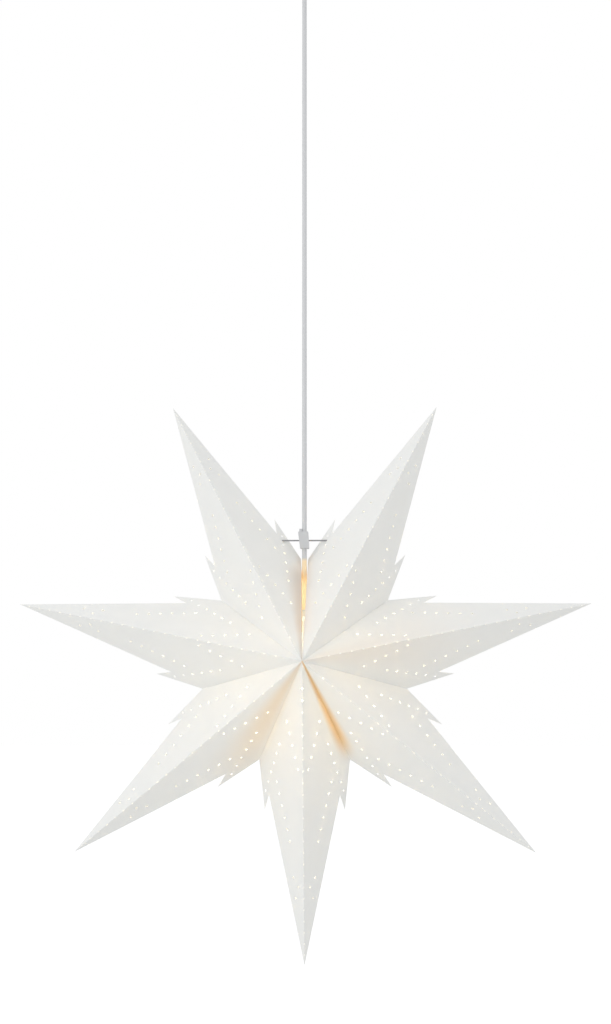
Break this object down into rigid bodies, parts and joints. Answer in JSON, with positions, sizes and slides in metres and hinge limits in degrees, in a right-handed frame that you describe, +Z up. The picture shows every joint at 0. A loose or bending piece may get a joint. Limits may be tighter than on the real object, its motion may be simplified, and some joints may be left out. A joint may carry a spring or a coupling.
{
  "type": "moravian star pendant",
  "caption": "Folded paper star pendant light hung on a cord through an open slit, with an inner lamp and a ceiling cup.",
  "frame": {"origin": "middle of the suspension eye, on the axis of the cord", "axes": "+Z up along the cord, -Y towards the front of the star"},
  "size_m": [0.603, 0.19, 1.158],
  "materials": {
    "paper": "matte",
    "white_plastic": "matte",
    "insulator": "matte",
    "cord_sheath": "matte",
    "core_blue": "matte",
    "core_brown": "matte",
    "steel": "satin",
    "brass": "satin",
    "glass": "clear"
  },
  "bodies": {
    "suspension": {"eye_strap": "white_plastic", "clamp_screw": "steel", "cord": "cord_sheath", "conductor_blue": "core_blue", "conductor_brown": "core_brown", "terminal_block": "insulator", "terminal_screws": "steel", "holder_sleeve": "white_plastic", "holder_cap": "white_plastic", "holder_insert": "insulator", "holder_screws": "steel", "screw_shell": "brass", "centre_contact": "brass"},
    "cup": {"ceiling_cup": "white_plastic", "cup_bush": "white_plastic", "grip_nut": "white_plastic", "grip_screw": "white_plastic"},
    "lamp": {"lamp_contact": "brass", "lamp_insulator": "insulator", "lamp_cap": "brass", "lamp_glass": "glass", "lamp_stem": "glass", "filament": "steel"},
    "lock": {"lock_body": "white_plastic", "hanger_wire": "steel"},
    "wedge": {"lock_wedge": "white_plastic"},
    "star": {"arm_1": "paper", "arm_2": "paper", "arm_3": "paper", "arm_4": "paper", "arm_5": "paper", "arm_6": "paper", "arm_7": "paper"}
  },
  "joints": [
    {"name": "cup_slide", "type": "slide", "parent": "suspension", "child": "cup", "axis": [0, 0, -1], "range_m": [0, 0.12]},
    {"name": "lamp_withdraw", "type": "slide", "parent": "suspension", "child": "lamp", "axis": [0, 0, -1], "range_m": [0, 0.03]},
    {"name": "lock_slide", "type": "slide", "parent": "suspension", "child": "lock", "axis": [0, 0, 1], "range_m": [-0.008, 0.015]},
    {"name": "wedge_slide", "type": "slide", "parent": "lock", "child": "wedge", "axis": [0, 0, 1], "range_m": [0, 0.003]},
    {"name": "star_tilt", "type": "hinge", "parent": "lock", "child": "star", "pos_m": [0, 0.0036, -0.7], "axis": [1, 0, 0], "range_deg": [-8, 8]}
  ]
}
